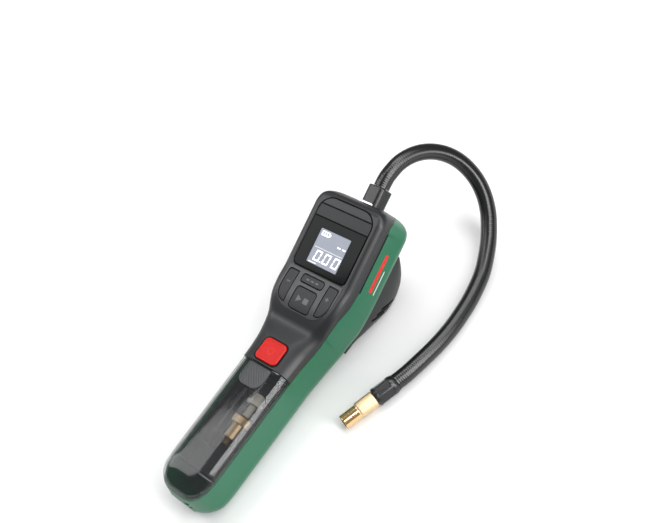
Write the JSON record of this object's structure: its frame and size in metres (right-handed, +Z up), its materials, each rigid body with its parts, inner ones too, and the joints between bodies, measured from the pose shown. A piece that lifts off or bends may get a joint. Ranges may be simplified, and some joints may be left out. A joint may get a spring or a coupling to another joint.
{
  "type": "tyre inflator with gauge",
  "caption": "Hand-held battery tyre inflator: angled head with a display and keys, storage handle with a clear cover, and a short hose with a screw-on valve connector.",
  "frame": {"origin": "centre of the tool's box without the hose, on the floor it lies on", "axes": "+Y along the tool towards the hose gland, +Z up, out of the display's side, +X to the tool's right"},
  "size_m": [0.0978, 0.2723, 0.0778],
  "materials": {
    "black_shell": "satin moulded",
    "green_shell": "satin moulded",
    "grey_key": "satin",
    "red_button": "satin",
    "display_lens": "gloss",
    "lcd": "gloss",
    "smoke_cover": "clear smoke gloss",
    "light_lens": "frosted",
    "brass": "polished",
    "steel": "satin",
    "copper": "wound copper",
    "board": "solder resist",
    "white_plastic": "satin",
    "rubber": "matt",
    "hose": "ribbed gloss",
    "cell_wrap": "shrink wrap"
  },
  "bodies": {
    "tool": {"adapter_tray": "black_shell", "air_hose": "hose", "battery_cell": "cell_wrap", "battery_contact_minus": "steel", "battery_contact_plus": "steel", "charging_socket": "steel", "cone_adapter": "white_plastic", "cylinder": "steel", "cylinder_head": "brass", "display_lens": "display_lens", "drive_bracket": "steel", "face_panel": "grey_key", "front_shell": "black_shell", "gear_shaft": "steel", "hose_ferrule": "black_shell", "hose_gland": "black_shell", "hose_stem": "brass", "lcd_module": "lcd", "light_board": "board", "light_lens": "light_lens", "main_board": "board", "minus_switch": "steel", "motor_can": "steel", "motor_end_cap": "white_plastic", "motor_magnet": "rubber", "needle_adapter": "steel", "nut_seal": "rubber", "plus_switch": "steel", "power_board": "board", "power_switch": "steel", "pressure_sensor": "rubber", "presta_adapter": "brass", "rear_housing": "black_shell", "rear_shell": "green_shell", "shell_screw_1": "steel", "shell_screw_2": "steel", "shell_screw_3": "steel", "shell_screw_4": "steel", "start_stop_switch": "steel", "unit_switch": "steel"},
    "rotor": {"motor_rotor": "copper", "motor_pinion": "brass"},
    "crank": {"crank_gear": "white_plastic"},
    "piston": {"piston": "white_plastic", "piston_seal": "rubber"},
    "cover": {"storage_cover": "smoke_cover"},
    "power_button": {"power_button": "red_button"},
    "unit_button": {"unit_button": "grey_key"},
    "start_stop_button": {"start_stop_button": "grey_key"},
    "minus_button": {"minus_button": "grey_key"},
    "plus_button": {"plus_button": "grey_key"},
    "flap": {"charging_flap": "rubber"},
    "nut": {"swivel_nut": "brass"}
  },
  "joints": [
    {"name": "cover_slide", "type": "slide", "parent": "tool", "child": "cover", "axis": [0, -0.998, -0.0638], "range_m": [0, 0.095]},
    {"name": "power_press", "type": "slide", "parent": "tool", "child": "power_button", "axis": [0, 0.0638, -0.998], "range_m": [0, 0.001], "stiffness_N_per_m": 800},
    {"name": "unit_press", "type": "slide", "parent": "tool", "child": "unit_button", "axis": [0, 0.3965, -0.918], "range_m": [0, 0.0006], "stiffness_N_per_m": 800},
    {"name": "start_stop_press", "type": "slide", "parent": "tool", "child": "start_stop_button", "axis": [0, 0.3965, -0.918], "range_m": [0, 0.0006], "stiffness_N_per_m": 800},
    {"name": "minus_press", "type": "slide", "parent": "tool", "child": "minus_button", "axis": [0, 0.3965, -0.918], "range_m": [0, 0.0006], "stiffness_N_per_m": 800},
    {"name": "plus_press", "type": "slide", "parent": "tool", "child": "plus_button", "axis": [0, 0.3965, -0.918], "range_m": [0, 0.0006], "stiffness_N_per_m": 800},
    {"name": "flap_hinge", "type": "hinge", "parent": "tool", "child": "flap", "pos_m": [-0.0272, 0.06529, 0.04497], "axis": [0, -0.918, -0.3965], "range_deg": [0, 120]},
    {"name": "rotor_spin", "type": "hinge", "parent": "tool", "child": "rotor", "pos_m": [0.0002, 0.06476, 0.02099], "axis": [0, -0.3965, 0.918], "continuous": true},
    {"name": "crank_spin", "type": "hinge", "parent": "tool", "child": "crank", "pos_m": [0.0002, 0.07487, 0.0417], "axis": [0, -0.3965, 0.918], "continuous": true},
    {"name": "piston_slide", "type": "slide", "parent": "tool", "child": "piston", "axis": [0, 0.918, 0.3965], "range_m": [-0.0025, 0.0025]},
    {"name": "nut_spin", "type": "hinge", "parent": "tool", "child": "nut", "pos_m": [0.05192, 0.00262, 0.0064], "axis": [0.299, 0.9542, 0], "continuous": true}
  ],
  "couplings": [
    {"joint": "crank_spin", "follows": "rotor_spin", "ratio": -0.25}
  ]
}
